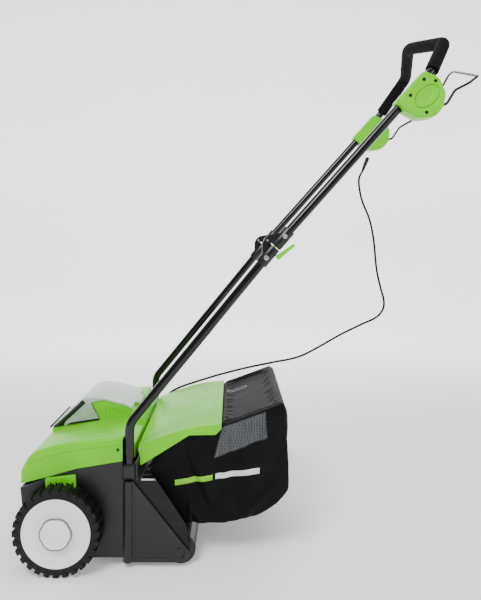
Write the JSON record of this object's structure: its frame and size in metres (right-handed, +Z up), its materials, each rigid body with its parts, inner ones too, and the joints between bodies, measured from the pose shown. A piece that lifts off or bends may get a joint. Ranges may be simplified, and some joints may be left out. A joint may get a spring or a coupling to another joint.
{
  "type": "lawn dethatcher",
  "caption": "Battery lawn dethatcher: wheeled deck with a spring-tine rotor, hood, rear roller, collection bag and a folding handle with bail, grip and control cable.",
  "frame": {"origin": "on the ground, under the middle of the whole machine's box", "axes": "+X to the rear, where the operator stands; +Y to the machine's right; +Z up"},
  "size_m": [1.0032, 0.522, 1.1797],
  "materials": {
    "lime_abs": "gloss",
    "black_abs": "satin",
    "powder_coat": "gloss",
    "foam": "matte",
    "steel": "satin",
    "rubber": "matte",
    "white_plastic": "satin",
    "clear_plastic": "gloss",
    "fabric": "matte"
  },
  "bodies": {
    "chassis": {"deck_housing": "black_abs", "hood": "lime_abs", "battery_bay": "black_abs", "lid_hinge_pin": "steel", "motor": "steel", "drive_belt": "rubber", "motor_controller": "black_abs", "rotor_bearing_left": "black_abs", "rotor_bearing_right": "black_abs", "roller_axle": "steel", "flap_hinge_rod": "steel", "control_cable": "rubber", "cable_gland": "rubber", "side_panel_left": "black_abs", "handle_socket_left": "black_abs", "hood_screw_left": "steel", "lower_handle_left": "powder_coat", "fold_bracket_left": "black_abs", "fold_pin_left": "steel", "side_panel_right": "black_abs", "handle_socket_right": "black_abs", "hood_screw_right": "steel", "lower_handle_right": "powder_coat", "fold_bracket_right": "black_abs", "fold_pin_right": "steel"},
    "battery_lid": {"battery_lid": "clear_plastic", "lid_front_seal": "rubber"},
    "motor_shaft": {"motor_pulley": "steel"},
    "rotor": {"tine_rotor": "steel", "rotor_pulley": "steel"},
    "depth_axle": {"crank_axle": "steel", "depth_lever": "lime_abs"},
    "wheel_left": {"tyre_left": "rubber", "wheel_disc_left": "white_plastic", "hub_cap_left": "white_plastic"},
    "wheel_right": {"tyre_right": "rubber", "wheel_disc_right": "white_plastic", "hub_cap_right": "white_plastic"},
    "roller": {"rear_roller": "black_abs"},
    "flap": {"discharge_flap": "lime_abs"},
    "bag": {"bag_fabric": "fabric", "bag_frame": "powder_coat"},
    "battery": {"battery_pack": "black_abs", "battery_latch": "lime_abs"},
    "upper_handle": {"upper_handle": "powder_coat", "foam_grip": "foam", "switch_housing_left": "lime_abs", "switch_housing_right": "lime_abs", "fold_knuckle_left": "black_abs", "fold_knuckle_right": "black_abs", "cable_strain_relief": "rubber"},
    "cam_lever_left": {"cam_lever_left": "black_abs"},
    "cam_lever_right": {"cam_lever_right": "black_abs"},
    "bail": {"bail_bar": "powder_coat"},
    "button": {"safety_button": "black_abs"}
  },
  "joints": [
    {"name": "depth_crank", "type": "hinge", "parent": "chassis", "child": "depth_axle", "pos_m": [-0.3836, 0, 0.105], "axis": [0, 1, 0], "range_deg": [0, 30]},
    {"name": "wheel_left_spin", "type": "hinge", "parent": "depth_axle", "child": "wheel_left", "pos_m": [-0.4116, -0.24, 0.09], "axis": [0, 1, 0], "continuous": true},
    {"name": "wheel_right_spin", "type": "hinge", "parent": "depth_axle", "child": "wheel_right", "pos_m": [-0.4116, 0.24, 0.09], "axis": [0, 1, 0], "continuous": true},
    {"name": "roller_spin", "type": "hinge", "parent": "chassis", "child": "roller", "pos_m": [-0.1611, 0, 0.032], "axis": [0, 1, 0], "continuous": true},
    {"name": "rotor_spin", "type": "hinge", "parent": "chassis", "child": "rotor", "pos_m": [-0.2916, 0, 0.078], "axis": [0, 1, 0], "continuous": true},
    {"name": "motor_spin", "type": "hinge", "parent": "chassis", "child": "motor_shaft", "pos_m": [-0.3616, 0.19, 0.207], "axis": [0, 1, 0], "continuous": true},
    {"name": "flap_lift", "type": "hinge", "parent": "chassis", "child": "flap", "pos_m": [-0.2506, 0, 0.2405], "axis": [0, -1, 0], "range_deg": [0, 65], "stiffness_Nm_per_rad": 0.15, "springref_deg": -28.65},
    {"name": "bag_pull", "type": "slide", "parent": "chassis", "child": "bag", "axis": [1, 0, 0], "range_m": [0, 0.25]},
    {"name": "lid_open", "type": "hinge", "parent": "chassis", "child": "battery_lid", "pos_m": [-0.2801, 0, 0.2915], "axis": [0, 1, 0], "range_deg": [0, 95]},
    {"name": "battery_lift", "type": "slide", "parent": "chassis", "child": "battery", "axis": [0, 0, 1], "range_m": [0, 0.012]},
    {"name": "handle_fold", "type": "hinge", "parent": "chassis", "child": "upper_handle", "pos_m": [0.02376, 0, 0.69012], "axis": [0, -1, 0], "range_deg": [0, 150], "deforming": ["control_cable"]},
    {"name": "cam_left", "type": "hinge", "parent": "chassis", "child": "cam_lever_left", "pos_m": [0.04781, -0.205, 0.65493], "axis": [0, 1, 0], "range_deg": [0, 80]},
    {"name": "cam_right", "type": "hinge", "parent": "chassis", "child": "cam_lever_right", "pos_m": [0.04781, 0.205, 0.65493], "axis": [0, 1, 0], "range_deg": [0, 80]},
    {"name": "bail_pull", "type": "hinge", "parent": "upper_handle", "child": "bail", "pos_m": [0.3774, 0, 0.982], "axis": [0, -1, 0], "range_deg": [0, 24], "stiffness_Nm_per_rad": 1.2, "springref_deg": -20.05},
    {"name": "button_press", "type": "slide", "parent": "upper_handle", "child": "button", "axis": [0, -1, 0], "range_m": [0, 0.004], "stiffness_N_per_m": 300, "springref_m": -0.002}
  ],
  "couplings": [
    {"joint": "motor_spin", "follows": "rotor_spin", "ratio": 2.5}
  ]
}
